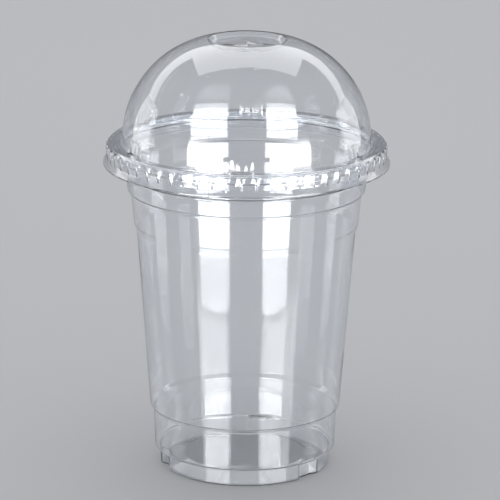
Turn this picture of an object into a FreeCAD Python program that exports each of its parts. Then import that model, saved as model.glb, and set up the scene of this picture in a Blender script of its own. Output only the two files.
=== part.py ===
"""Clear cold-drink cup with a dome lid, as two formed sheets in millimetres.

The cup stands on the floor at z = 0 with its axis on z. Each piece is one sheet of plastic: the line of
its outer face is turned about the axis with the sheet's thickness added on the inside, and the pockets,
lugs, ribs and the straw slot are then formed in it.
"""
import FreeCAD, Part
import math
import os
import Sketcher

Vector = FreeCAD.Vector

# Driving sizes: name, millimetres (or a plain count or degrees), what it is.
SIZES = [
    ("cup_sheet", 0.4, "thickness of the cup's sheet"),
    ("panel_radius", 21.6, "flat middle of the base"),
    ("panel_height", 2.8, "underside of the middle of the base above the floor"),
    ("base_slope_reach", 6.6, "from the flat middle out to the standing ring"),
    ("stand_width", 2.3, "flat width of the standing ring, with its bends"),
    ("foot_height", 6.4, "foot band, from the floor to the ledge"),
    ("foot_draft", 0.15, "how far the foot band widens upwards"),
    ("ledge_reach", 1.85, "ledge over the foot band"),
    ("band_height", 14.2, "lower band over the ledge"),
    ("band_draft", 0.45, "how far the lower band widens upwards"),
    ("lower_step_rise", 1.6, "height of the step over the lower band"),
    ("lower_step_reach", 1.25, "reach of the step over the lower band"),
    ("wall_height", 65.2, "main wall, between its two steps"),
    ("wall_draft", 4.95, "how far the main wall widens upwards"),
    ("collar_step_rise", 2.5, "height of the step over the main wall"),
    ("collar_step_reach", 1.0, "reach of the step over the main wall"),
    ("collar_height", 11.1, "band over the main wall"),
    ("collar_draft", 1.05, "how far that band widens upwards"),
    ("shoulder_step_rise", 1.2, "height of the upper step"),
    ("shoulder_step_reach", 1.25, "reach of the upper step"),
    ("shoulder_height", 6.0, "band over the upper step"),
    ("shoulder_draft", 0.55, "how far that band widens upwards"),
    ("mouth_step_rise", 0.8, "height of the stacking step under the mouth"),
    ("mouth_step_reach", 1.9, "reach of the stacking step under the mouth"),
    ("mouth_height", 9.1, "from the stacking step to the top of the rim, less the sheet"),
    ("mouth_draft", 1.1, "how far the mouth widens upwards"),
    ("roll_width", 3.2, "rolled rim, across"),
    ("roll_height", 3.3, "rolled rim, from top to bottom"),
    ("roll_bend", 1.0, "inside bend of the rolled rim"),
    ("roll_tail", 0.4, "straight end of the roll under the rim"),
    ("base_bend", 0.8, "bends of the base"),
    ("foot_bend", 0.3, "bend where the foot band meets the ledge"),
    ("ledge_bend", 0.9, "bend at the edge of the ledge"),
    ("step_bend", 0.6, "bends of the wall's steps"),
    ("pocket_outer_width", 10.2, "foot pocket at the face of the foot band"),
    ("pocket_inner_width", 4.8, "foot pocket at its back"),
    ("pocket_depth", 2.0, "foot pocket, into the foot band"),
    ("pocket_roof_drop", 0.2, "roof of the foot pocket below the ledge"),
    ("pocket_count", 3, "foot pockets round the foot"),
    ("pocket_angle", 79, "degrees from +x to the first foot pocket"),
    ("lid_sheet", 0.4, "thickness of the lid's sheet"),
    ("snap_gap", 0.25, "gap between the lid's skirt and the rim, across"),
    ("plug_gap", 0.4, "gap between the lid's groove and the mouth, across"),
    ("seat_gap", 0.3, "gap between lid and rim, up and down"),
    ("skirt_height", 5.4, "straight skirt, from the top of the crown to the flare"),
    ("flare_drop", 1.9, "height of the flare under the skirt"),
    ("flare_reach", 1.1, "reach of the flare under the skirt"),
    ("lip_width", 0.45, "flat lip round the flare"),
    ("groove_depth", 1.6, "groove between crown and dome"),
    ("groove_width", 0.6, "groove between crown and dome, across"),
    ("dome_foot_height", 2.5, "upright foot of the dome, over the groove"),
    ("dome_rise", 36.0, "dome, from its widest height to the ring at its top"),
    ("ring_flat", 0.5, "straight run between the dome's curve and the bend of its ring"),
    ("recess_radius", 13.7, "ring round the recess at the top of the dome"),
    ("recess_depth", 1.8, "floor of the recess below its ring"),
    ("recess_draft", 1.1, "how far the recess narrows downwards"),
    ("flap_dip", 0.6, "middle of the recess floor below its edge"),
    ("flap_flat", 1.5, "flat spot in the middle of the recess floor"),
    ("crown_outer_bend", 1.2, "outer bend of the crown"),
    ("crown_inner_bend", 0.8, "inner bend of the crown"),
    ("skirt_bend", 0.8, "bend between skirt and flare"),
    ("lip_bend", 0.3, "bend between flare and lip"),
    ("ring_bend", 0.5, "bend of the ring round the recess"),
    ("recess_bend", 0.4, "bend at the foot of the recess wall"),
    ("flap_bend", 2.0, "bend in the middle of the recess floor"),
    ("slot_length", 20.0, "each arm of the cross-shaped straw slot"),
    ("slot_width", 0.3, "each arm of the straw slot, across"),
    ("lug_count", 6, "lugs round the foot of the dome"),
    ("lug_angle", 28, "degrees from +x to the first lug"),
    ("lug_height", 4.7, "lug, over the floor of the groove"),
    ("lug_root_width", 8.2, "lug where it leaves the dome"),
    ("lug_face_width", 5.8, "lug across its face"),
    ("lug_top_slope", 0.8, "how far the lug's top falls to its face"),
    ("rib_count", 60, "ribs round the skirt"),
    ("rib_height", 4.1, "rib, from top to point"),
    ("rib_top_width", 1.5, "rib at its top"),
    ("rib_point_width", 0.2, "rib at its point"),
    ("rib_relief", 0.3, "how far the rib's top stands out of the skirt"),
]

# Places worked out from the sizes: radii from the axis and heights over the floor.
PLACES = [
    ("stand_radius", "Sizes.panel_radius + Sizes.base_slope_reach"),
    ("foot_radius", "stand_radius + Sizes.stand_width"),
    ("foot_top_radius", "foot_radius + Sizes.foot_draft"),
    ("ledge_radius", "foot_top_radius + Sizes.ledge_reach"),
    ("band_top_radius", "ledge_radius + Sizes.band_draft"),
    ("wall_foot_radius", "band_top_radius + Sizes.lower_step_reach"),
    ("wall_top_radius", "wall_foot_radius + Sizes.wall_draft"),
    ("collar_foot_radius", "wall_top_radius + Sizes.collar_step_reach"),
    ("collar_top_radius", "collar_foot_radius + Sizes.collar_draft"),
    ("shoulder_foot_radius", "collar_top_radius + Sizes.shoulder_step_reach"),
    ("shoulder_top_radius", "shoulder_foot_radius + Sizes.shoulder_draft"),
    ("mouth_foot_radius", "shoulder_top_radius + Sizes.mouth_step_reach"),
    ("mouth_top_radius", "mouth_foot_radius + Sizes.mouth_draft"),
    ("roll_outer_radius", "mouth_top_radius + Sizes.roll_width - 2 * Sizes.cup_sheet"),
    ("rim_radius", "roll_outer_radius + Sizes.cup_sheet"),
    ("roll_tail_radius", "roll_outer_radius - Sizes.roll_bend - Sizes.roll_tail"),
    ("floor_height", "0"),
    ("band_top_height", "Sizes.foot_height + Sizes.band_height"),
    ("wall_foot_height", "band_top_height + Sizes.lower_step_rise"),
    ("wall_top_height", "wall_foot_height + Sizes.wall_height"),
    ("collar_foot_height", "wall_top_height + Sizes.collar_step_rise"),
    ("collar_top_height", "collar_foot_height + Sizes.collar_height"),
    ("shoulder_foot_height", "collar_top_height + Sizes.shoulder_step_rise"),
    ("shoulder_top_height", "shoulder_foot_height + Sizes.shoulder_height"),
    ("mouth_foot_height", "shoulder_top_height + Sizes.mouth_step_rise"),
    ("roll_top_height", "mouth_foot_height + Sizes.mouth_height"),
    ("rim_height", "roll_top_height + Sizes.cup_sheet"),
    ("roll_bottom_height", "rim_height - Sizes.roll_height + Sizes.cup_sheet"),
    ("pocket_roof", "Sizes.foot_height - Sizes.pocket_roof_drop"),
    ("pocket_roof_top", "pocket_roof + Sizes.cup_sheet"),
    ("core_foot_radius", "foot_radius + Sizes.foot_draft * pocket_roof_top / Sizes.foot_height"),
    ("skirt_radius", "rim_radius + Sizes.snap_gap + Sizes.lid_sheet"),
    ("crown_height", "rim_height + Sizes.seat_gap + Sizes.lid_sheet"),
    ("plug_radius", "mouth_top_radius - Sizes.cup_sheet - Sizes.plug_gap"),
    ("crown_inner_radius", "plug_radius - Sizes.lid_sheet"),
    ("flare_radius", "skirt_radius + Sizes.flare_reach"),
    ("lip_radius", "flare_radius + Sizes.lip_width"),
    ("skirt_foot_height", "crown_height - Sizes.skirt_height"),
    ("lip_height", "skirt_foot_height - Sizes.flare_drop"),
    ("groove_height", "crown_height - Sizes.groove_depth"),
    ("dome_radius", "crown_inner_radius - Sizes.groove_width"),
    ("dome_widest_height", "groove_height + Sizes.dome_foot_height"),
    ("dome_reach", "dome_radius - Sizes.recess_radius - Sizes.ring_flat"),
    ("dome_bend", "(dome_reach ^ 2 + Sizes.dome_rise ^ 2) / (2 * dome_reach)"),
    ("dome_corner_rise", "(dome_reach ^ 2 + Sizes.dome_rise ^ 2) / (2 * Sizes.dome_rise)"),
    ("dome_corner_height", "dome_widest_height + dome_corner_rise"),
    ("ring_slope", "(Sizes.dome_rise - dome_corner_rise) / dome_reach"),
    ("ring_height", "dome_widest_height + Sizes.dome_rise + Sizes.ring_flat * ring_slope"),
    ("recess_floor_radius", "Sizes.recess_radius - Sizes.recess_draft"),
    ("recess_floor_height", "ring_height - Sizes.recess_depth"),
    ("flap_height", "recess_floor_height - Sizes.flap_dip"),
    ("axis_radius", "0"),
]

# Corners of the outer face of the cup, from the axis to the end of the roll: radius, height, bend.
CUP_BASE = [
    ("axis_radius", "panel_height", None),
    ("panel_radius", "panel_height", "base_bend"),
    ("stand_radius", "floor_height", "base_bend"),
    ("foot_radius", "floor_height", "base_bend"),
]
CUP_WALL = [
    ("foot_top_radius", "foot_height", "foot_bend"),
    ("ledge_radius", "foot_height", "ledge_bend"),
    ("band_top_radius", "band_top_height", "step_bend"),
    ("wall_foot_radius", "wall_foot_height", "step_bend"),
    ("wall_top_radius", "wall_top_height", "step_bend"),
    ("collar_foot_radius", "collar_foot_height", "step_bend"),
    ("collar_top_radius", "collar_top_height", "step_bend"),
    ("shoulder_foot_radius", "shoulder_foot_height", "step_bend"),
    ("shoulder_top_radius", "shoulder_top_height", "step_bend"),
    ("mouth_foot_radius", "mouth_foot_height", "step_bend"),
    ("mouth_top_radius", "roll_top_height", "roll_bend"),
    ("roll_outer_radius", "roll_top_height", "roll_bend"),
    ("roll_outer_radius", "roll_bottom_height", "roll_bend"),
    ("roll_tail_radius", "roll_bottom_height", None),
]

# Room inside the foot band, from the underside of the base up to the pockets' roof.
FOOT_CORE = CUP_BASE + [
    ("core_foot_radius", "pocket_roof_top", None),
    ("axis_radius", "pocket_roof_top", None),
]

# Corners of the upper face of the lid, from its lip to the axis.
LID_FACE = [
    ("lip_radius", "lip_height", None),
    ("flare_radius", "lip_height", "lip_bend"),
    ("skirt_radius", "skirt_foot_height", "skirt_bend"),
    ("skirt_radius", "crown_height", "crown_outer_bend"),
    ("crown_inner_radius", "crown_height", "crown_inner_bend"),
    ("crown_inner_radius", "groove_height", None),
    ("dome_radius", "groove_height", None),
    ("dome_radius", "dome_corner_height", "dome_bend"),
    ("recess_radius", "ring_height", "ring_bend"),
    ("recess_floor_radius", "recess_floor_height", "recess_bend"),
    ("flap_flat", "flap_height", "flap_bend"),
    ("axis_radius", "flap_height", None),
]

# How far a cutting shape runs past the faces that it cuts, and how deep a joined one starts in the sheet.
OVERRUN = 1.0
SEAT_IN_SHEET = 0.1


def make_sheet(doc, name, rows):
    """A spreadsheet with one named cell for each row; returns it."""
    sheet = doc.addObject("Spreadsheet::Sheet", name)
    for number, row in enumerate(rows, start=1):
        sheet.set("A%d" % number, row[0])
        sheet.set("B%d" % number, str(row[1]))
        sheet.setAlias("B%d" % number, row[0])
        if len(row) > 2:
            sheet.set("C%d" % number, row[2])
    return sheet


def make_places(doc):
    """The spreadsheet of places, each cell a formula."""
    return make_sheet(doc, "Places", [(name, "=" + formula) for name, formula in PLACES])


def reference(name):
    """The expression that reads a named size or place."""
    is_size = any(row[0] == name for row in SIZES)
    return ("Sizes." if is_size else "Places.") + name


def value(doc, name):
    """The number behind a named size or place."""
    sheet_name = reference(name).split(".")[0]
    return float(doc.getObject(sheet_name).get(name))


def bend_points(before, corner, after, radius):
    """Start, middle and end of the arc that rounds a corner, and whether it turns left."""
    into = (corner - before).normalize()
    out = (after - corner).normalize()
    turn = into.x * out.y - into.y * out.x
    half_angle = math.acos(max(-1.0, min(1.0, into.dot(out)))) / 2
    run = radius * math.tan(half_angle)
    to_centre = (out - into).normalize()
    centre = corner + to_centre * (radius / math.cos(half_angle))
    return corner - into * run, centre - to_centre * radius, corner + out * run, turn > 0


def place_point(sketch, geometry, end, corner):
    """Holds one end of a piece of geometry at a corner's named radius and height."""
    radius_name, height_name, _ = corner
    doc = sketch.Document
    if value(doc, radius_name) == 0:
        sketch.addConstraint(Sketcher.Constraint("PointOnObject", geometry, end, -2))
    else:
        across = Sketcher.Constraint("DistanceX", -1, 1, geometry, end, value(doc, radius_name))
        index = sketch.addConstraint(across)
        sketch.setExpression("Constraints[%d]" % index, reference(radius_name))
    if value(doc, height_name) == 0:
        sketch.addConstraint(Sketcher.Constraint("PointOnObject", geometry, end, -1))
    else:
        up = Sketcher.Constraint("DistanceY", -1, 1, geometry, end, value(doc, height_name))
        index = sketch.addConstraint(up)
        sketch.setExpression("Constraints[%d]" % index, reference(height_name))


def add_bend(sketch, corner, line_in, line_out, arc_points):
    """Joins two lines with an arc of the corner's bend radius, tangent to both."""
    start, middle, end, turns_left = arc_points
    arc = sketch.addGeometry(Part.Arc(start, middle, end))
    first, second = (1, 2) if turns_left else (2, 1)
    sketch.addConstraint(Sketcher.Constraint("Tangent", line_in, 2, arc, first))
    sketch.addConstraint(Sketcher.Constraint("Tangent", arc, second, line_out, 1))
    radius = value(sketch.Document, corner[2])
    index = sketch.addConstraint(Sketcher.Constraint("Radius", arc, radius))
    sketch.setExpression("Constraints[%d]" % index, reference(corner[2]))
    mark = sketch.addGeometry(Part.Point(sketch_point(sketch.Document, corner)), True)
    place_point(sketch, mark, 1, corner)
    sketch.addConstraint(Sketcher.Constraint("PointOnObject", mark, 1, line_in))
    sketch.addConstraint(Sketcher.Constraint("PointOnObject", mark, 1, line_out))


def sketch_point(doc, corner):
    """A corner as a point of the sketch's own plane."""
    return Vector(value(doc, corner[0]), value(doc, corner[1]), 0)


def make_outline(doc, name, corners, closed=False):
    """A sketch in the xz plane: straight runs between the named corners, each rounded by its bend."""
    sketch = doc.addObject("Sketcher::SketchObject", name)
    sketch.Placement = FreeCAD.Placement(Vector(), FreeCAD.Rotation(Vector(1, 0, 0), 90))
    points = [sketch_point(doc, corner) for corner in corners]
    count = len(points)
    arcs = {}
    for i, corner in enumerate(corners):
        if corner[2]:
            arcs[i] = bend_points(points[i - 1], points[i], points[(i + 1) % count], value(doc, corner[2]))
    lines = []
    for i in range(count if closed else count - 1):
        start = arcs[i][2] if i in arcs else points[i]
        following = (i + 1) % count
        end = arcs[following][0] if following in arcs else points[following]
        lines.append(sketch.addGeometry(Part.LineSegment(start, end)))
    for i, corner in enumerate(corners):
        if i in arcs:
            add_bend(sketch, corner, lines[i - 1], lines[i], arcs[i])
        elif i < len(lines):
            place_point(sketch, lines[i], 1, corner)
            if i or closed:
                sketch.addConstraint(Sketcher.Constraint("Coincident", lines[i - 1], 2, lines[i], 1))
        else:
            place_point(sketch, lines[i - 1], 2, corner)
    return sketch


def make_turned(doc, name, profile):
    """A solid of revolution of a closed profile about the z axis."""
    turned = doc.addObject("Part::Revolution", name)
    turned.Source = profile
    turned.Axis = Vector(0, 0, 1)
    turned.Base = Vector(0, 0, 0)
    turned.Angle = 360
    turned.Solid = True
    return turned


def make_sheet_of(doc, name, outline, thickness_name):
    """A sheet turned about the axis: its outer line, thickened on the inside."""
    section = doc.addObject("Part::Offset2D", name + "Section")
    section.Source = outline
    section.Mode = "Skin"
    section.Join = "Intersection"
    section.Fill = True
    section.setExpression("Value", reference(thickness_name))
    return make_turned(doc, name, section)


def make_wedge(doc, name, expressions, turn):
    """A block with flat faces whose far end differs in size from its near end."""
    wedge = doc.addObject("Part::Wedge", name)
    for prop, expression in expressions.items():
        wedge.setExpression(prop, expression)
    wedge.Placement = FreeCAD.Placement(Vector(), turn)
    return wedge


def spread(doc, name, expressions, count_name, first_angle, lean=None):
    """Copies of one wedge at even turns about the axis, joined; the wedge's y runs outwards."""
    count = int(value(doc, count_name))
    copies = []
    for i in range(count):
        turn = FreeCAD.Rotation(Vector(0, 0, 1), first_angle - 90 + 360.0 * i / count)
        if lean:
            turn = turn.multiply(lean)
        copies.append(make_wedge(doc, "%s%d" % (name, i + 1), expressions, turn))
    joined = doc.addObject("Part::MultiFuse", name + "s")
    joined.Shapes = copies
    return joined


def combine(doc, kind, name, base, tool):
    """A cut or common of two objects."""
    result = doc.addObject("Part::" + kind, name)
    result.Base = base
    result.Tool = tool
    return result


def pocket_wedge(margin):
    """A foot pocket, grown on its back, sides and roof by a margin; open below and outwards."""
    half_outer = "(Sizes.pocket_outer_width / 2 + %s)" % margin
    half_inner = "(Sizes.pocket_inner_width / 2 + %s)" % margin
    # The sides keep their slope as far as the wedge runs past the foot band.
    slope = "(Sizes.pocket_outer_width - Sizes.pocket_inner_width) / 2 / Sizes.pocket_depth"
    half_past = "(%s + %s * %s)" % (half_outer, OVERRUN, slope)
    back = "Places.foot_radius - Sizes.pocket_depth - %s" % margin
    return {
        "Ymin": back,
        "Ymax": "Places.foot_radius + %s" % OVERRUN,
        "Xmin": "-" + half_inner,
        "Xmax": half_inner,
        "X2min": "-" + half_past,
        "X2max": half_past,
        "Zmin": "-%s" % OVERRUN,
        "Zmax": "Places.pocket_roof + %s" % margin,
        "Z2min": "-%s" % OVERRUN,
        "Z2max": "Places.pocket_roof + %s" % margin,
    }


def make_cup(doc):
    """The cup: a turned sheet whose foot band is pushed in at the pockets."""
    sheet = make_sheet_of(doc, "CupSheet", make_outline(doc, "CupLine", CUP_BASE + CUP_WALL), "cup_sheet")
    core = make_turned(doc, "FootCore", make_outline(doc, "FootLine", FOOT_CORE, closed=True))
    angle = value(doc, "pocket_angle")
    pockets = spread(doc, "Pocket", pocket_wedge("0"), "pocket_count", angle)
    grown = spread(doc, "PocketShell", pocket_wedge("Sizes.cup_sheet"), "pocket_count", angle)
    lining = combine(doc, "Common", "PocketLining", grown, core)
    lined = doc.addObject("Part::MultiFuse", "LinedCup")
    lined.Shapes = [sheet, lining]
    cup = combine(doc, "Cut", "Cup", lined, pockets)
    cup.Label = "cup"
    return cup


def lug_wedge(margin):
    """A lug on the foot of the dome, shrunk on its face, sides and top by a margin."""
    half_root = "(Sizes.lug_root_width / 2 - %s)" % margin
    half_face = "(Sizes.lug_face_width / 2 - %s)" % margin
    top = "Places.groove_height + Sizes.lug_height - %s" % margin
    return {
        "Ymin": "Places.dome_radius - Sizes.lid_sheet + %s" % SEAT_IN_SHEET,
        "Ymax": "Places.plug_radius - %s" % margin,
        "Xmin": "-" + half_root,
        "Xmax": half_root,
        "X2min": "-" + half_face,
        "X2max": half_face,
        "Zmin": "Places.groove_height - Sizes.lid_sheet",
        "Zmax": top,
        "Z2min": "Places.groove_height - Sizes.lid_sheet",
        "Z2max": top + " - Sizes.lug_top_slope",
    }


def lug_hollow():
    """The room inside a lug: open to the inside of the dome and downwards."""
    hollow = lug_wedge("Sizes.lid_sheet")
    hollow["Ymin"] = "Places.dome_radius - Sizes.lid_sheet - %s" % OVERRUN
    hollow["Zmin"] += " - %s" % OVERRUN
    hollow["Z2min"] += " - %s" % OVERRUN
    return hollow


def rib_wedge():
    """A rib on the skirt, pointed below; its y runs downwards and its z outwards before it is turned."""
    seat = "Places.skirt_radius - Sizes.lid_sheet + %s" % SEAT_IN_SHEET
    top = "Places.crown_height - Sizes.crown_outer_bend"
    return {
        "Ymin": "-(%s)" % top,
        "Ymax": "-(%s - Sizes.rib_height)" % top,
        "Xmin": "-Sizes.rib_top_width / 2",
        "Xmax": "Sizes.rib_top_width / 2",
        "X2min": "-Sizes.rib_point_width / 2",
        "X2max": "Sizes.rib_point_width / 2",
        "Zmin": seat,
        "Z2min": seat,
        "Zmax": "Places.skirt_radius + Sizes.rib_relief",
        "Z2max": "Places.skirt_radius",
    }


def slot_arm(doc, name, along_x):
    """One arm of the straw slot, as a box through the floor of the recess."""
    arm = doc.addObject("Part::Box", name)
    long_side, short_side = ("Length", "Width") if along_x else ("Width", "Length")
    long_axis, short_axis = ("x", "y") if along_x else ("y", "x")
    arm.setExpression(long_side, "Sizes.slot_length")
    arm.setExpression(short_side, "Sizes.slot_width")
    arm.setExpression("Height", "Sizes.flap_dip + Sizes.lid_sheet + %s" % (2 * OVERRUN))
    arm.setExpression("Placement.Base." + long_axis, "-Sizes.slot_length / 2")
    arm.setExpression("Placement.Base." + short_axis, "-Sizes.slot_width / 2")
    arm.setExpression("Placement.Base.z", "Places.flap_height - Sizes.lid_sheet - %s" % OVERRUN)
    return arm


def make_lid(doc):
    """The lid: a turned sheet with hollow lugs, ribs on its skirt and a crossed straw slot."""
    sheet = make_sheet_of(doc, "LidSheet", make_outline(doc, "LidLine", LID_FACE), "lid_sheet")
    angle = value(doc, "lug_angle")
    lugs = spread(doc, "Lug", lug_wedge("0"), "lug_count", angle)
    hollows = spread(doc, "LugHollow", lug_hollow(), "lug_count", angle)
    ribs = spread(doc, "Rib", rib_wedge(), "rib_count", angle, FreeCAD.Rotation(Vector(1, 0, 0), -90))
    formed = doc.addObject("Part::MultiFuse", "FormedLid")
    formed.Shapes = [sheet, lugs, ribs]
    openings = doc.addObject("Part::MultiFuse", "LidOpenings")
    openings.Shapes = [hollows, slot_arm(doc, "SlotAcross", True), slot_arm(doc, "SlotAlong", False)]
    lid = combine(doc, "Cut", "DomeLid", formed, openings)
    lid.Label = "dome_lid"
    return lid


def check_all(doc, pieces):
    """Stops if anything in the document failed, or a piece is not one sound solid."""
    for item in doc.Objects:
        if "Invalid" in item.State or "Error" in item.State:
            raise RuntimeError("%s failed" % item.Name)
    for piece in pieces:
        shape = piece.Shape
        if shape.isNull() or not shape.isValid() or len(shape.Solids) != 1:
            raise RuntimeError("%s is not one sound solid" % piece.Label)


def main():
    doc = FreeCAD.newDocument("CupWithLid")
    make_sheet(doc, "Sizes", SIZES)
    doc.recompute()
    make_places(doc)
    doc.recompute()
    pieces = [make_cup(doc), make_lid(doc)]
    doc.recompute()
    check_all(doc, pieces)
    os.makedirs("parts", exist_ok=True)
    for piece in pieces:
        piece.Shape.exportStep("parts/%s.step" % piece.Label)
        print("%s: %.1f cubic mm" % (piece.Label, piece.Shape.Volume))


main()
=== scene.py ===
"""Clear cold-drink cup with its dome lid, standing on a plain pale floor.

Both pieces are one thin clear sheet. Each is built by turning the line of its outer face and the line of its
inner face about the z axis, and pressing the pockets, ribs and lugs into both. Sizes are in millimetres and
degrees until a mesh is made.
"""
import math

import bpy
from mathutils import Matrix, Vector


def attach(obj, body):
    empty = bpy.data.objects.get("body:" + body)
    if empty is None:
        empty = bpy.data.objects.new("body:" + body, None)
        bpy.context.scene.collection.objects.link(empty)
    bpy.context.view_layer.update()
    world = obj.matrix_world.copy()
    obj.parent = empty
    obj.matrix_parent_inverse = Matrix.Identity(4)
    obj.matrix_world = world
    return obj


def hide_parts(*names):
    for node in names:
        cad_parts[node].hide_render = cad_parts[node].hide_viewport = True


MM = 0.001

# How finely the sheets are drawn.
ARC_TURN = 12.0       # degrees of a bend between two points of an outline
ARC_RUN = 1.6         # longest step along a bend
RUN_STEP = 5.0        # longest step along a straight run
RUN_HOLD = 0.3        # first and last step of a straight run, which keep its shading flat
LEAST_BEND = 0.12     # smallest bend that is drawn
PLAIN_TURN = 1.5      # degrees between two columns where nothing is pressed in
SHARP_TURN = 42.0     # degrees between two faces from which their edge is drawn sharp
ON_AXIS = 1e-6        # radius below which a point counts as on the axis

# The cup: thickness of its sheet, and the runs of its outer face from the axis to the end of the rolled rim,
# each with its reach outwards, its rise, and the bend at its end.
CUP_SHEET = 0.4
CUP_START = (0.0, 2.8)
CUP_RUNS = [
    (21.6, 0.0, 0.8),     # flat middle of the base
    (6.6, -2.8, 0.8),     # slope down to the standing ring
    (2.3, 0.0, 0.8),      # standing ring
    (0.15, 6.4, 0.3),     # foot band
    (1.85, 0.0, 0.9),     # ledge
    (0.45, 14.2, 0.6),    # lower band
    (1.25, 1.6, 0.6),     # lower step
    (4.95, 65.2, 0.6),    # main wall
    (1.0, 2.5, 0.6),      # step over the main wall
    (1.05, 11.1, 0.6),    # band over that step
    (1.25, 1.2, 0.6),     # upper step
    (0.55, 6.0, 0.6),     # band over the upper step
    (1.9, 0.8, 0.6),      # stacking step
    (1.1, 9.1, 1.0),      # mouth
    (2.4, 0.0, 1.0),      # top of the rolled rim
    (0.0, -2.5, 1.0),     # outside of the rolled rim
    (-1.4, 0.0, 0.0),     # tail of the rolled rim
]
FOOT_RADIUS = 30.5
FOOT_TOP = 6.4
STAND_RADIUS = 28.2

# Pockets in the foot band, which keep stacked cups apart.
POCKET_ANGLES = [79.0, 199.0, 319.0]
POCKET_DEPTH = 2.0
POCKET_OUTER_WIDTH = 10.2
POCKET_INNER_WIDTH = 4.8
POCKET_ROOF = 6.2
POCKET_SHEET = 0.2

# Columns to each side of a pocket, and the inner radius and the height of the part of the cup that has them.
POCKET_COLUMNS = [0.0, 1.5, 3.0, 4.2, 4.83, 5.4, 6.2, 7.2, 8.2, 9.0, 9.58, 10.2, 11.5]
POCKET_ZONE_RADIUS = STAND_RADIUS - 4
POCKET_ZONE_TOP = FOOT_TOP + 2

# The lid: thickness, and the runs of its upper face from the lip to the edge of the straw flaps.
LID_SHEET = 0.4
LID_START = (51.0, 111.9)
GROOVE_HEIGHT = 117.6
CROWN_HEIGHT = 119.2
DOME_RADIUS = 44.2
DOME_WIDEST_HEIGHT = 120.1
DOME_RISE = 36.0
RING_RADIUS = 13.7
RING_FLAT = 0.5
DOME_REACH = DOME_RADIUS - RING_RADIUS - RING_FLAT
DOME_BEND = (DOME_REACH ** 2 + DOME_RISE ** 2) / (2 * DOME_REACH)
DOME_CORNER_RISE = (DOME_REACH ** 2 + DOME_RISE ** 2) / (2 * DOME_RISE)
RING_SLOPE = (DOME_RISE - DOME_CORNER_RISE) / DOME_REACH
RECESS_FLOOR_RADIUS = 12.6
RECESS_DEPTH = 1.8
FLAP_DIP = 0.6
FLAP_FLAT = 1.5
LID_RUNS = [
    (-0.45, 0.0, 0.3),    # lip
    (-1.1, 1.9, 0.8),     # flare
    (0.0, 5.4, 1.2),      # skirt
    (-4.65, 0.0, 0.8),    # crown
    (0.0, GROOVE_HEIGHT - CROWN_HEIGHT, 0.2),     # outer wall of the groove
    (-0.6, 0.0, 0.2),     # floor of the groove
    (0.0, DOME_WIDEST_HEIGHT + DOME_CORNER_RISE - GROOVE_HEIGHT, DOME_BEND),    # dome, one wide bend
    (-DOME_REACH - RING_FLAT, (DOME_REACH + RING_FLAT) * RING_SLOPE, 0.5),      # ring round the recess
    (RECESS_FLOOR_RADIUS - RING_RADIUS, -RECESS_DEPTH, 0.4),      # wall of the recess
    (FLAP_FLAT - RECESS_FLOOR_RADIUS, -FLAP_DIP, 0.0),            # floor of the recess
]

# Where the groove starts and ends on the way inwards, and the drop from the crown that counts as its start.
GROOVE_START_RADIUS = 46.0
GROOVE_END_RADIUS = DOME_RADIUS + 0.1
LEAST_DROP = 0.001

# Lugs at the foot of the dome, each with a rounded nose down the middle of its face.
LUG_ANGLES = [28.0 + 60.0 * i for i in range(6)]
LUG_FACE_RADIUS = 45.2
LUG_ROOT_WIDTH = 8.2
LUG_FACE_WIDTH = 5.8
LUG_NOSE_WIDTH = 4.8
LUG_NOSE_RELIEF = 0.55
LUG_NOSE_CREST = 0.62
LUG_TOP = 122.3
LUG_TOP_SLOPE = 0.8
LUG_FOOT_FLARE = 0.3

# Steps across half a lug's face and across its flank, the columns beside it, and the turn between two columns
# elsewhere. They end so far inside the dome and above the lugs.
LUG_FACE_STEPS = 6
LUG_FLANK_STEPS = 3
LUG_SIDE_COLUMNS = [0.4, 1.3]
LUG_GAP_TURN = 2.0
LUG_ZONE_RADIUS = DOME_RADIUS - 3
LUG_ZONE_TOP = LUG_TOP + 1.5

# Ribs on the skirt: widths at the foot of their flanks, the part of that width that is the round crest, how
# far they stand out, and the part of that relief which is left at the point.
RIB_COUNT = 60
RIB_FIRST_ANGLE = 28.0
RIB_TOP = 118.0
RIB_HEIGHT = 4.1
RIB_TOP_WIDTH = 3.6
RIB_POINT_WIDTH = 1.0
RIB_CREST = 0.75
RIB_RELIEF = 0.6
RIB_POINT_SHARE = 0.6

# How far over its top a rib starts, over what height it rises, and the same two at its point as shares of its
# height. Columns on each side of its middle as shares of half its width, the one beside it, and the turn
# between two columns elsewhere. They end so far inside the crown.
RIB_START = 0.35
RIB_START_RUN = 0.5
RIB_END_SHARE = 0.08
RIB_END_RUN = 0.1
RIB_COLUMNS = [0.0, 0.2, 0.4, 0.58, RIB_CREST, 0.84, 0.92, 1.0]
RIB_SIDE_COLUMN = 0.15
RIB_GAP_TURN = 2.4
RIB_ZONE_RADIUS = LUG_FACE_RADIUS + 1.5

# Straw slot: half the length of an arm, half its width, how late an arm narrows to its end, the radii at
# which the flaps are drawn, how far the tip of each stands up or hangs, and how late they bend.
SLOT_REACH = 10.0
SLOT_HALF_WIDTH = 0.15
SLOT_TAPER = 4
FLAP_RADII = [8.6, 7.2, 5.8, 4.5, 3.3, 2.3, 1.4, 0.7]
FLAP_LIFTS = [1.3, 0.2, -1.0, 0.5]
FLAP_BEND = 1.6

# Camera, fitted to the photograph: place in metres, angles in degrees.
CAMERA_DISTANCE = 1.2663
CAMERA_HEIGHT = 0.436
CAMERA_PITCH = 15.75
CAMERA_ROLL = 0.392
CAMERA_LENS = 264.75
CAMERA_SHIFT = 0.00806

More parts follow.
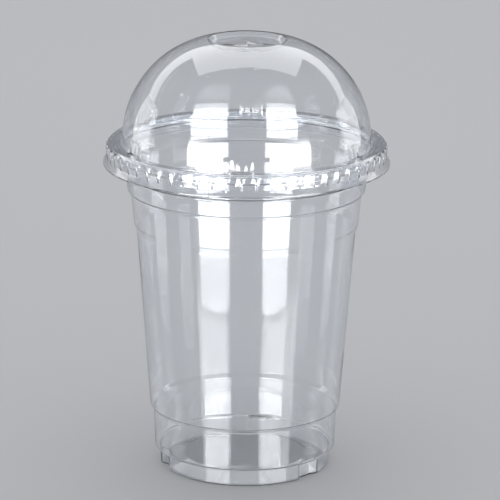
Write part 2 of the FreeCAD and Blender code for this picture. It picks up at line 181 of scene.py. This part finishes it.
# The clear sheet: its refraction, its tints, its roughness, the fineness and depth of its waves and streaks,
# how much the streaks of each piece are drawn out, and what one face lets through of a lamp's light.
PLASTIC_IOR = 1.57
CUP_TINT = (0.95, 0.97, 1.0, 1.0)
LID_TINT = (0.96, 0.975, 1.0, 1.0)
CLEAR_TINT = (0.995, 0.998, 1.0, 1.0)
PLASTIC_ROUGHNESS = (0.0, 0.05)
WAVE_SCALE = 70.0
WAVE_STRETCH = 0.6
WAVE_DETAIL = 1.0
WAVE_DEPTH = 0.00006
STREAK_SCALE = 420.0
STREAK_DETAIL = 2.0
STREAK_DEPTH = 0.000002
CUP_STREAKS = 0.03
LID_STREAKS = 0.2
SHADOW_TINT = (0.94, 0.945, 0.95, 1.0)

# The part of a noise's range that a ramp takes.
NOISE_LOW = 0.3
NOISE_HIGH = 0.7

# The floor, in metres: half its side, its two colours, the scale of their change, and its roughness where it
# is met directly and in what mirrors it.
FLOOR_HALF = 6.0
FLOOR_COLOURS = [(0.44, 0.447, 0.46, 1.0), (0.46, 0.467, 0.48, 1.0)]
FLOOR_SCALE = 3.0
FLOOR_DETAIL = 3.0
FLOOR_MATT = 0.6
FLOOR_SMOOTH = 0.1

# Upright lights, in metres and degrees: distance from the axis, then name, angle, width and radiance of each.
# Angle 0 is at the camera, and to the right is more.
FRONT_DISTANCE = 0.26
FRONT_LIGHTS = [("front_left", -35.5, 0.16, 18.0), ("front_right", 37.7, 0.188, 15.0)]
SIDE_DISTANCE = 0.6
SIDE_LIGHTS = [("side_left", -112.0, 0.34, 1.4), ("side_right", 112.0, 0.34, 1.4)]

# Their brightness at some heights, as a share: the front ones on the cup and floor, the same on the lid, and
# the side ones. SIDE_FADE is the part of the width, from each side, over which each fades out.
FRONT_SHARES = [(0.002, 0.26), (0.024, 0.32), (0.04, 1.0), (0.12, 1.0), (0.19, 0.03), (0.25, 0.0)]
DOME_SHARES = [(0.002, 0.06), (0.03, 0.08), (0.045, 0.2), (0.058, 1.0), (0.12, 1.0), (0.19, 0.03),
               (0.25, 0.0)]
SIDE_SHARES = [(0.002, 1.0), (0.3, 1.0), (0.36, 0.0)]
SIDE_FADE = 0.1

# Panels overhead: name, place, size and radiance of the two behind, and of the one that lights the floor.
BACK_PANELS = [
    ("back_top", (0, 0.695, 1.14), (1.18, 0.85), 1.5),
    ("back_band", (0, 1.55, 1.14), (5.2, 0.86), 1.5),
]
OVERHEAD_PANEL = ("overhead", (0, -0.3, 1.5), (1.6, 1.6), 2.0)
ROOM_COLOUR = (0.19, 0.195, 0.21, 1.0)

# Bounces of light.
MOST_BOUNCES = 32
GLOSSY_BOUNCES = 12
DIFFUSE_BOUNCES = 4


def corners_of(start, runs):
    """Radius, height and bend of each corner of an outline."""
    radius, height = start
    corners = [(radius, height, 0.0)]
    for reach, rise, bend in runs:
        radius += reach
        height += rise
        corners.append((radius, height, bend))
    return corners


def offset_corners(corners, sheet):
    """The corners of the other face of the sheet, which lies to the left of the outline."""
    points = [Vector(corner[:2]) for corner in corners]
    normals = []
    for a, b in zip(points, points[1:]):
        along = (b - a).normalized()
        normals.append(Vector((-along.y, along.x)))
    moved = []
    for i, (point, corner) in enumerate(zip(points, corners)):
        before = normals[max(i - 1, 0)]
        after = normals[min(i, len(normals) - 1)]
        place = point + (before + after) * (sheet / (1 + before.dot(after)))
        turn = before.x * after.y - before.y * after.x
        bend = corner[2] - math.copysign(sheet, turn) if corner[2] else 0.0
        moved.append((place.x, place.y, bend))
    return moved


def straight(a, b):
    """Points inside a straight run: one close to each end and some between them."""
    length = (b - a).length
    if length < 4 * RUN_HOLD:
        return [a.lerp(b, 0.5)] if length > RUN_HOLD else []
    steps = max(1, math.ceil((length - 2 * RUN_HOLD) / RUN_STEP))
    first, last = RUN_HOLD / length, 1 - RUN_HOLD / length
    return [a.lerp(b, first + (last - first) * i / steps) for i in range(steps + 1)]


def bend_of(before, corner, after, bend):
    """Points of the arc that rounds a corner."""
    into = (corner - before).normalized()
    out = (after - corner).normalized()
    angle = math.acos(max(-1.0, min(1.0, into.dot(out))))
    run = bend * math.tan(angle / 2)
    turn = math.copysign(1.0, into.x * out.y - into.y * out.x)
    start = corner - into * run
    centre = start + Vector((-into.y, into.x)) * (turn * bend)
    steps = max(2, math.ceil(math.degrees(angle) / ARC_TURN), math.ceil(angle * bend / ARC_RUN))
    spoke = start - centre
    points = []
    for i in range(steps + 1):
        a = turn * angle * i / steps
        points.append(centre + Vector((spoke.x * math.cos(a) - spoke.y * math.sin(a),
                                       spoke.x * math.sin(a) + spoke.y * math.cos(a))))
    return points


def outline(corners):
    """Points of an outline whose corners are rounded."""
    places = [Vector(corner[:2]) for corner in corners]
    points = [places[0]]
    for i in range(1, len(corners)):
        if i + 1 < len(corners) and corners[i][2]:
            arc = bend_of(places[i - 1], places[i], places[i + 1], max(corners[i][2], LEAST_BEND))
        else:
            arc = [places[i]]
        points += straight(points[-1], arc[0]) + arc
    return points


class Skin:
    """Corners and faces of one closed sheet, made ring by ring."""

    def __init__(self):
        self.corners = []
        self.faces = []

    def add(self, radius, angle, height):
        turn = math.radians(angle)
        self.corners.append((radius * math.cos(turn) * MM, radius * math.sin(turn) * MM, height * MM))
        return len(self.corners) - 1

    def ring(self, point, angles, press):
        """A ring of corners at one point of the outline, with what is pressed into it."""
        made = []
        for angle in angles:
            radius, height = press(point.x, point.y, angle)
            made.append((self.add(radius, angle, height), angle))
        return made

    def bridge(self, low, high):
        """Faces between two rings: squares where they have the same columns, or else triangles."""
        if len(low) == 1 or len(high) == 1:
            self.close(low, high)
            return
        n, m = len(low), len(high)
        if n == m:
            for i in range(n):
                j = (i + 1) % n
                self.faces.append((low[i][0], low[j][0], high[j][0], high[i][0]))
            return
        i = j = 0
        while i < n or j < m:
            next_low = low[(i + 1) % n][1] + 360.0 * ((i + 1) // n)
            next_high = high[(j + 1) % m][1] + 360.0 * ((j + 1) // m)
            if j >= m or (i < n and next_low <= next_high):
                self.faces.append((low[i][0], low[(i + 1) % n][0], high[j % m][0]))
                i += 1
            else:
                self.faces.append((low[i % n][0], high[(j + 1) % m][0], high[j][0]))
                j += 1

    def close(self, low, high):
        """Faces between a ring and the one corner on the axis."""
        ring = high if len(low) == 1 else low
        pole = low[0][0] if len(low) == 1 else high[0][0]
        for i in range(len(ring)):
            a, b = ring[i][0], ring[(i + 1) % len(ring)][0]
            self.faces.append((pole, b, a) if len(low) == 1 else (a, b, pole))

    def object(self, name, material):
        """The finished mesh object, shaded smooth except across its edges."""
        mesh = bpy.data.meshes.new(name)
        mesh.from_pydata(self.corners, [], self.faces)
        mesh.shade_smooth()
        mesh.set_sharp_from_angle(angle=math.radians(SHARP_TURN))
        mesh.materials.append(material)
        made = bpy.data.objects.new(name, mesh)
        bpy.context.collection.objects.link(made)
        return made


def soft_step(x):
    """0 below 0, 1 above 1, and a smooth rise between."""
    x = max(0.0, min(1.0, x))
    return x * x * (3 - 2 * x)


def lerp(a, b, share):
    return a + (b - a) * share


def nearest_turn(angle, centres):
    """Degrees from the nearest of some angles."""
    return min(((angle - centre + 180.0) % 360.0 - 180.0 for centre in centres), key=abs)


def plain_angles():
    count = round(360 / PLAIN_TURN)
    return [i * 360.0 / count for i in range(count)]


def around(centres, offsets, step):
    """Columns at given turns to each side of some places, and even columns between them."""
    reach = offsets[-1]
    angles = []
    for k, centre in enumerate(centres):
        angles += [centre - x for x in reversed(offsets) if x > 0] + [centre + x for x in offsets]
        gap_end = centres[(k + 1) % len(centres)] + (360.0 if k + 1 == len(centres) else 0.0) - reach
        gap = gap_end - centre - reach
        steps = round(gap / step)
        angles += [centre + reach + gap * i / steps for i in range(1, steps)]
    return sorted(angle % 360.0 for angle in angles)


def degrees_at(length, radius):
    """The turn that a length takes up on a circle."""
    return math.degrees(length / radius)


def pocket_share(angle):
    """How far a foot pocket is pressed in at a turn: 0 outside it and 1 at its back."""
    away = abs(nearest_turn(angle, POCKET_ANGLES))
    inner = degrees_at(POCKET_INNER_WIDTH / 2, FOOT_RADIUS - POCKET_DEPTH)
    outer = degrees_at(POCKET_OUTER_WIDTH / 2, FOOT_RADIUS)
    return max(0.0, min(1.0, (outer - away) / (outer - inner)))


def press_pockets(face_inset):
    """Presses the pockets into a face of the cup that lies so far inside the outer one."""
    foot = FOOT_RADIUS - face_inset
    back = FOOT_RADIUS - POCKET_DEPTH - min(face_inset, POCKET_SHEET)

    def press(radius, height, angle):
        share = pocket_share(angle)
        if radius < STAND_RADIUS or height > FOOT_TOP or not share:
            return radius, height
        pressed = STAND_RADIUS + (radius - STAND_RADIUS) * (back - STAND_RADIUS) / (foot - STAND_RADIUS)
        share *= soft_step((FOOT_TOP - height) / (FOOT_TOP - POCKET_ROOF))
        return lerp(radius, min(radius, pressed), share), height

    return press


def unpressed(radius, height, angle):
    return radius, height


def make_cup(material):
    """The cup, one sheet from the middle of its base to the tail of its rolled rim."""
    corners = corners_of(CUP_START, CUP_RUNS)
    outer = outline(corners)
    inner = outline(offset_corners(corners, CUP_SHEET))
    plain = plain_angles()
    pocket = around(POCKET_ANGLES, POCKET_COLUMNS, PLAIN_TURN)
    skin = Skin()
    rings = []
    for points, press in ((outer, press_pockets(0.0)), (reversed(inner), press_pockets(CUP_SHEET))):
        for point in points:
            if point.x < ON_AXIS:
                rings.append([(skin.add(0.0, 0.0, point.y), 0.0)])
            elif point.y < POCKET_ZONE_TOP and point.x > POCKET_ZONE_RADIUS:
                rings.append(skin.ring(point, pocket, press))
            else:
                rings.append(skin.ring(point, plain, unpressed))
    for low, high in zip(rings, rings[1:]):
        skin.bridge(low, high)
    cup = skin.object("cup_shell", material)
    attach(cup, "cup")
    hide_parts("cup")
    return cup


def rib_half_width(height):
    """Half the width of a rib at a height."""
    share = max(0.0, min(1.0, (RIB_TOP - height) / RIB_HEIGHT))
    return lerp(RIB_TOP_WIDTH, RIB_POINT_WIDTH, share) / 2


def rib_centres():
    return [(RIB_FIRST_ANGLE + i * 360.0 / RIB_COUNT) % 360.0 for i in range(RIB_COUNT)]


def rib_angles(radius, height):
    """Columns that follow the flanks of every rib down the skirt."""
    half = rib_half_width(height)
    lengths = [half * share for share in RIB_COLUMNS] + [half + RIB_SIDE_COLUMN]
    offsets = [degrees_at(x, radius) for x in lengths]
    return around(sorted(rib_centres()), offsets, RIB_GAP_TURN)


def ridge(away, reach, crest):
    """Height of a rounded ridge at a distance from its middle line: 1 on that line and 0 at its foot."""
    share = min(1.0, away / reach)
    if share < crest:
        return 1 - share * share / crest
    return (1 - share) ** 2 / (1 - crest)


def press_ribs(radius, height, angle):
    """Raises the ribs out of either face of the skirt."""
    below_top = soft_step((RIB_TOP + RIB_START - height) / RIB_START_RUN)
    share = (height - (RIB_TOP - RIB_HEIGHT)) / RIB_HEIGHT
    along = soft_step((share + RIB_END_SHARE) / RIB_END_RUN) * below_top
    if along <= 0:
        return radius, height
    turn = (angle - RIB_FIRST_ANGLE + 180.0 / RIB_COUNT) % (360.0 / RIB_COUNT) - 180.0 / RIB_COUNT
    away = abs(math.radians(turn)) * radius
    relief = RIB_RELIEF * lerp(RIB_POINT_SHARE, 1.0, max(0.0, min(1.0, share)))
    return radius + relief * along * ridge(away, rib_half_width(height), RIB_CREST), height


def lug_face_turn():
    return degrees_at(LUG_FACE_WIDTH / 2, LUG_FACE_RADIUS)


def lug_root_turn():
    return degrees_at(LUG_ROOT_WIDTH / 2, DOME_RADIUS)


def lug_angles():
    """Columns that follow the face and the flanks of every lug."""
    face, root = lug_face_turn(), lug_root_turn()
    offsets = [face * i / LUG_FACE_STEPS for i in range(LUG_FACE_STEPS + 1)]
    offsets += [lerp(face, root, i / LUG_FLANK_STEPS) for i in range(1, LUG_FLANK_STEPS + 1)]
    return around(LUG_ANGLES, offsets + [root + x for x in LUG_SIDE_COLUMNS], LUG_GAP_TURN)


def press_lugs(inset, groove_share):
    """Presses the lugs out of a face of the dome's foot; groove_share says how far along the groove it is."""
    crown = CROWN_HEIGHT - inset
    top = LUG_TOP - inset

    def press(radius, height, angle):
        away = abs(nearest_turn(angle, LUG_ANGLES))
        share = max(0.0, min(1.0, (lug_root_turn() - away) / (lug_root_turn() - lug_face_turn())))
        if not share:
            return radius, height
        nose = ridge(away, degrees_at(LUG_NOSE_WIDTH / 2, LUG_FACE_RADIUS), LUG_NOSE_CREST)
        face = LUG_FACE_RADIUS - inset - LUG_NOSE_RELIEF * (1 - nose)
        if groove_share is not None:
            return lerp(radius, face + LUG_FOOT_FLARE * (1 - groove_share), share), lerp(height, crown, share)
        out = max(0.0, min(1.0, (top - height) / LUG_TOP_SLOPE))
        return lerp(radius, face, share * out), height

    return press


def groove_shares(points, inset):
    """For each point of a face of the lid, how far along the groove it is, or None outside the groove."""
    crown = CROWN_HEIGHT - inset
    first = next(i for i, p in enumerate(points) if p.x < GROOVE_START_RADIUS and p.y < crown - LEAST_DROP)
    last = next(i for i, p in enumerate(points) if i > first and p.x < GROOVE_END_RADIUS and p.y > crown)
    shares = [None] * len(points)
    for i in range(first, last):
        shares[i] = (i - first) / (last - first)
    return shares


def floor_height(radius):
    """Height of the upper face of the recess floor."""
    edge = DOME_WIDEST_HEIGHT + DOME_CORNER_RISE + (DOME_REACH + RING_FLAT) * RING_SLOPE - RECESS_DEPTH
    slope = FLAP_DIP / (RECESS_FLOOR_RADIUS - FLAP_FLAT)
    return edge - slope * (RECESS_FLOOR_RADIUS - max(radius, FLAP_FLAT))


def lid_face(skin, points, inset):
    """The rings of one face of the lid, from the lip to the edge of the flaps."""
    plain = plain_angles()
    lug = lug_angles()
    rings = []
    for point, share in zip(points, groove_shares(points, inset)):
        if point.x > RIB_ZONE_RADIUS:
            rings.append(skin.ring(point, rib_angles(point.x, point.y), press_ribs))
        elif point.x > LUG_ZONE_RADIUS and point.y < LUG_ZONE_TOP:
            rings.append(skin.ring(point, lug, press_lugs(inset, share)))
        elif point.x > SLOT_REACH:
            rings.append(skin.ring(point, plain, unpressed))
    edge = Vector((SLOT_REACH, floor_height(SLOT_REACH) - inset))
    rings.append(skin.ring(edge, plain, unpressed))
    return rings


def make_flap(skin, quarter, upper_edge, lower_edge):
    """One of the four flaps between the arms of the straw slot."""
    columns = len(upper_edge) // 4
    first = quarter * columns
    picked = [(first + i) % len(upper_edge) for i in range(columns + 1)]
    rows = [[upper_edge[i][0] for i in picked]]
    for inset in (0.0, LID_SHEET):
        radii = FLAP_RADII if inset == 0.0 else list(reversed(FLAP_RADII))
        for radius in radii:
            gap = SLOT_HALF_WIDTH * (1 - (radius / SLOT_REACH) ** SLOT_TAPER)
            pad = math.degrees(math.asin(gap / radius))
            lift = FLAP_LIFTS[quarter] * (1 - radius / SLOT_REACH) ** FLAP_BEND
            height = floor_height(radius) - inset + lift
            row = []
            for i in range(columns + 1):
                angle = 90.0 * quarter + pad + (90.0 - 2 * pad) * i / columns
                row.append(skin.add(radius, angle, height))
            rows.append(row)
    rows.append([lower_edge[i][0] for i in picked])
    for low, high in zip(rows, rows[1:]):
        for i in range(columns):
            skin.faces.append((low[i], low[i + 1], high[i + 1], high[i]))
    count = len(rows)
    for k in range(count // 2 - 1):
        a, b, c, d = rows[k], rows[k + 1], rows[count - 2 - k], rows[count - 1 - k]
        skin.faces.append((a[0], b[0], c[0], d[0]))
        skin.faces.append((a[-1], d[-1], c[-1], b[-1]))


def make_lid(material):
    """The lid, one sheet from its lip to the flaps of the straw slot."""
    corners = corners_of(LID_START, LID_RUNS)
    skin = Skin()
    upper = lid_face(skin, outline(corners), 0.0)
    lower = lid_face(skin, outline(offset_corners(corners, LID_SHEET)), LID_SHEET)
    rings = list(reversed(lower)) + upper
    for low, high in zip(rings, rings[1:]):
        skin.bridge(low, high)
    for quarter in range(4):
        make_flap(skin, quarter, upper[-1], lower[-1])
    lid = skin.object("lid_shell", material)
    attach(lid, "lid")
    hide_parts("dome_lid")
    return lid


def new_material(name):
    """A material with its Principled shader; returns the material, its nodes, its links and the shader."""
    material = bpy.data.materials.new(name)
    material.use_nodes = True
    nodes = material.node_tree.nodes
    return material, nodes, material.node_tree.links, nodes["Principled BSDF"]


def add_noise(nodes, links, scale, stretch, detail):
    """Noise in the object's own coordinates, stretched along z."""
    place = nodes.new("ShaderNodeTexCoord")
    mapping = nodes.new("ShaderNodeMapping")
    mapping.inputs["Scale"].default_value = (scale, scale, scale * stretch)
    noise = nodes.new("ShaderNodeTexNoise")
    noise.inputs["Scale"].default_value = 1.0
    noise.inputs["Detail"].default_value = detail
    links.new(place.outputs["Object"], mapping.inputs["Vector"])
    links.new(mapping.outputs["Vector"], noise.inputs["Vector"])
    return noise.outputs["Fac"]


def mix_colours(nodes, links, source, first, second):
    """A colour that follows a noise between two colours."""
    mix = nodes.new("ShaderNodeMix")
    mix.data_type = "RGBA"
    mix.inputs["A"].default_value = first
    mix.inputs["B"].default_value = second
    links.new(source, mix.inputs["Factor"])
    return mix.outputs["Result"]


def add_ramp(nodes, links, source, low, high):
    """A number that follows a noise between two values."""
    spread = nodes.new("ShaderNodeMapRange")
    spread.inputs["From Min"].default_value = NOISE_LOW
    spread.inputs["From Max"].default_value = NOISE_HIGH
    spread.inputs["To Min"].default_value = low
    spread.inputs["To Max"].default_value = high
    links.new(source, spread.inputs["Value"])
    return spread.outputs["Result"]


def add_bump(nodes, links, source, distance, below=None):
    bump = nodes.new("ShaderNodeBump")
    bump.inputs["Strength"].default_value = 1.0
    bump.inputs["Distance"].default_value = distance
    links.new(source, bump.inputs["Height"])
    if below:
        links.new(below, bump.inputs["Normal"])
    return bump.outputs["Normal"]


def let_lamps_through(nodes, links, shader):
    """Lets light from lamps pass, a little dimmed, so that the floor under the plastic is lit."""
    path = nodes.new("ShaderNodeLightPath")
    clear = nodes.new("ShaderNodeBsdfTransparent")
    clear.inputs["Color"].default_value = SHADOW_TINT
    mix = nodes.new("ShaderNodeMixShader")
    output = next(node for node in nodes if node.type == "OUTPUT_MATERIAL")
    links.new(path.outputs["Is Shadow Ray"], mix.inputs["Fac"])
    links.new(shader.outputs["BSDF"], mix.inputs[1])
    links.new(clear.outputs["BSDF"], mix.inputs[2])
    links.new(mix.outputs["Shader"], output.inputs["Surface"])


def clear_plastic(name, tint, streaks):
    """Clear drawn plastic: a faint waviness and fine streaks along the draw, and slightly uneven gloss."""
    material, nodes, links, shader = new_material(name)
    shader.inputs["Transmission Weight"].default_value = 1.0
    shader.inputs["IOR"].default_value = PLASTIC_IOR
    waves = add_noise(nodes, links, WAVE_SCALE, WAVE_STRETCH, WAVE_DETAIL)
    lines = add_noise(nodes, links, STREAK_SCALE, streaks, STREAK_DETAIL)
    links.new(mix_colours(nodes, links, waves, tint, CLEAR_TINT), shader.inputs["Base Color"])
    links.new(add_ramp(nodes, links, lines, *PLASTIC_ROUGHNESS), shader.inputs["Roughness"])
    broad = add_bump(nodes, links, waves, WAVE_DEPTH)
    links.new(add_bump(nodes, links, lines, STREAK_DEPTH, broad), shader.inputs["Normal"])
    let_lamps_through(nodes, links, shader)
    return material


def make_floor():
    """A plain pale floor, matt where it is met directly and smoother in what mirrors it."""
    material, nodes, links, shader = new_material("floor")
    grain = add_noise(nodes, links, FLOOR_SCALE, 1.0, FLOOR_DETAIL)
    links.new(mix_colours(nodes, links, grain, *FLOOR_COLOURS), shader.inputs["Base Color"])
    path = nodes.new("ShaderNodeLightPath")
    sheen = nodes.new("ShaderNodeMapRange")
    sheen.inputs["To Min"].default_value = FLOOR_MATT
    sheen.inputs["To Max"].default_value = FLOOR_SMOOTH
    links.new(path.outputs["Glossy Depth"], sheen.inputs["Value"])
    links.new(sheen.outputs["Result"], shader.inputs["Roughness"])
    mesh = bpy.data.meshes.new("floor")
    corners = [(x * FLOOR_HALF, y * FLOOR_HALF, 0) for x, y in ((-1, -1), (1, -1), (1, 1), (-1, 1))]
    mesh.from_pydata(corners, [], [(0, 1, 2, 3)])
    mesh.materials.append(material)
    floor = bpy.data.objects.new("floor", mesh)
    bpy.context.collection.objects.link(floor)
    return floor


def add_profile(nodes, links, source, stops):
    """A share that follows a coordinate between 0 and 1 through some stops."""
    ramp = nodes.new("ShaderNodeValToRGB")
    ramp.color_ramp.interpolation = "EASE"
    elements = ramp.color_ramp.elements
    elements[0].position, elements[1].position = stops[0][0], stops[-1][0]
    for place, share in stops[1:-1]:
        elements.new(place)
    for element, (place, share) in zip(elements, stops):
        element.color = (share, share, share, 1.0)
    links.new(source, ramp.inputs["Fac"])
    return ramp.outputs["Color"]


def add_area(name, place, size, radiance):
    """A rectangular soft light that the camera does not see."""
    data = bpy.data.lights.new(name, "AREA")
    data.shape = "RECTANGLE"
    data.size, data.size_y = size
    data.energy = radiance * math.pi * size[0] * size[1]
    light = bpy.data.objects.new(name, data)
    light.location = place
    light.visible_camera = False
    bpy.context.collection.objects.link(light)
    return light


def light_alone(light, objects):
    """Keeps a light to some objects."""
    lit = bpy.data.collections.new(light.name + "_lit")
    for thing in objects:
        lit.objects.link(thing)
    light.light_linking.receiver_collection = lit


def combine(nodes, links, operation, first, second):
    """The result of a math node on a node's output and either another one or a number."""
    node = nodes.new("ShaderNodeMath")
    node.operation = operation
    links.new(first, node.inputs[0])
    if isinstance(second, float):
        node.inputs[1].default_value = second
    else:
        links.new(second, node.inputs[1])
    return node.outputs["Value"]


def add_tower(name, angle, width, radiance, distance, shares, objects, mirrors, passes):
    """An upright soft light on the floor that faces the axis and lights some objects alone.

    It is seen only by light that at least so many surfaces have mirrored and so many have let through, so
    that no view meets it bare.
    """
    low, high = shares[0][0], shares[-1][0]
    turn = math.radians(angle)
    place = (distance * math.sin(turn), -distance * math.cos(turn), (low + high) / 2)
    light = add_area(name, place, (width, high - low), radiance)
    light.rotation_euler = (math.radians(90), 0, turn)
    light.visible_diffuse = False
    light_alone(light, objects)
    light.data.use_nodes = True
    nodes, links = light.data.node_tree.nodes, light.data.node_tree.links
    emission = next(node for node in nodes if node.type == "EMISSION")
    spot = nodes.new("ShaderNodeNewGeometry")
    split = nodes.new("ShaderNodeSeparateXYZ")
    path = nodes.new("ShaderNodeLightPath")
    links.new(spot.outputs["Parametric"], split.inputs["Vector"])
    stops_across = [(0.0, 0.0), (SIDE_FADE, 1.0), (1 - SIDE_FADE, 1.0), (1.0, 0.0)]
    stops_up = [((height - low) / (high - low), share) for height, share in shares]
    across = add_profile(nodes, links, split.outputs["X"], stops_across)
    up = add_profile(nodes, links, split.outputs["Y"], stops_up)
    shape = combine(nodes, links, "MULTIPLY", across, up)
    mirrored = combine(nodes, links, "GREATER_THAN", path.outputs["Glossy Depth"], mirrors - 0.5)
    passed = combine(nodes, links, "GREATER_THAN", path.outputs["Transmission Depth"], passes - 0.5)
    met = combine(nodes, links, "MULTIPLY", mirrored, passed)
    links.new(combine(nodes, links, "MULTIPLY", shape, met), emission.inputs["Strength"])


def make_lights(cup, lid, floor):
    """Plain soft studio light: upright lights in front and at the sides, panels overhead and a dim room."""
    for thing, shares, mirrors, passes in ((cup, FRONT_SHARES, 1, 3), (lid, DOME_SHARES, 1, 0),
                                           (floor, FRONT_SHARES, 2, 0)):
        for name, *rest in FRONT_LIGHTS:
            add_tower(name + "_" + thing.name, *rest, FRONT_DISTANCE, shares, [thing], mirrors, passes)
    for light in SIDE_LIGHTS:
        add_tower(*light, SIDE_DISTANCE, SIDE_SHARES, [cup, lid], 1, 0)
    for panel in BACK_PANELS:
        add_area(*panel)
    overhead = add_area(*OVERHEAD_PANEL)
    overhead.visible_glossy = False
    overhead.visible_transmission = False
    world = bpy.data.worlds.new("room")
    world.use_nodes = True
    world.node_tree.nodes["Background"].inputs["Color"].default_value = ROOM_COLOUR
    bpy.context.scene.world = world


def make_camera():
    """The camera of the photograph."""
    data = bpy.data.cameras.new("camera")
    data.sensor_width = 36.0
    data.lens = CAMERA_LENS
    data.shift_x = CAMERA_SHIFT
    camera = bpy.data.objects.new("camera", data)
    pitch = Matrix.Rotation(math.radians(90 - CAMERA_PITCH), 4, "X")
    roll = Matrix.Rotation(math.radians(CAMERA_ROLL), 4, "Z")
    camera.matrix_world = Matrix.Translation((0, -CAMERA_DISTANCE, CAMERA_HEIGHT)) @ pitch @ roll
    bpy.context.collection.objects.link(camera)
    bpy.context.scene.camera = camera


def set_light_paths():
    """Enough bounces for light to pass through both walls of the cup and the lid."""
    scene = bpy.context.scene
    scene.cycles.max_bounces = MOST_BOUNCES
    scene.cycles.transmission_bounces = MOST_BOUNCES
    scene.cycles.glossy_bounces = GLOSSY_BOUNCES
    scene.cycles.diffuse_bounces = DIFFUSE_BOUNCES
    scene.cycles.caustics_refractive = False
    scene.cycles.caustics_reflective = False
    scene.cycles.use_denoising = True
    scene.view_settings.view_transform = "Standard"
    scene.view_settings.exposure = 0.0


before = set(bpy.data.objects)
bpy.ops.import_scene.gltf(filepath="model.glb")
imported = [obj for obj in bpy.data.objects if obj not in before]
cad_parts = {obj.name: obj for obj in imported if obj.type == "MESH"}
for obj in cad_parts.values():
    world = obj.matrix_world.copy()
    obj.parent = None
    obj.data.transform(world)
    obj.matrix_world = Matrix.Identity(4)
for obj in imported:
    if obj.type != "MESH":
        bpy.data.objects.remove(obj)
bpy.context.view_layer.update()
cup_shell = make_cup(clear_plastic("cup_plastic", CUP_TINT, CUP_STREAKS))
lid_shell = make_lid(clear_plastic("lid_plastic", LID_TINT, LID_STREAKS))
make_lights(cup_shell, lid_shell, make_floor())
make_camera()
set_light_paths()
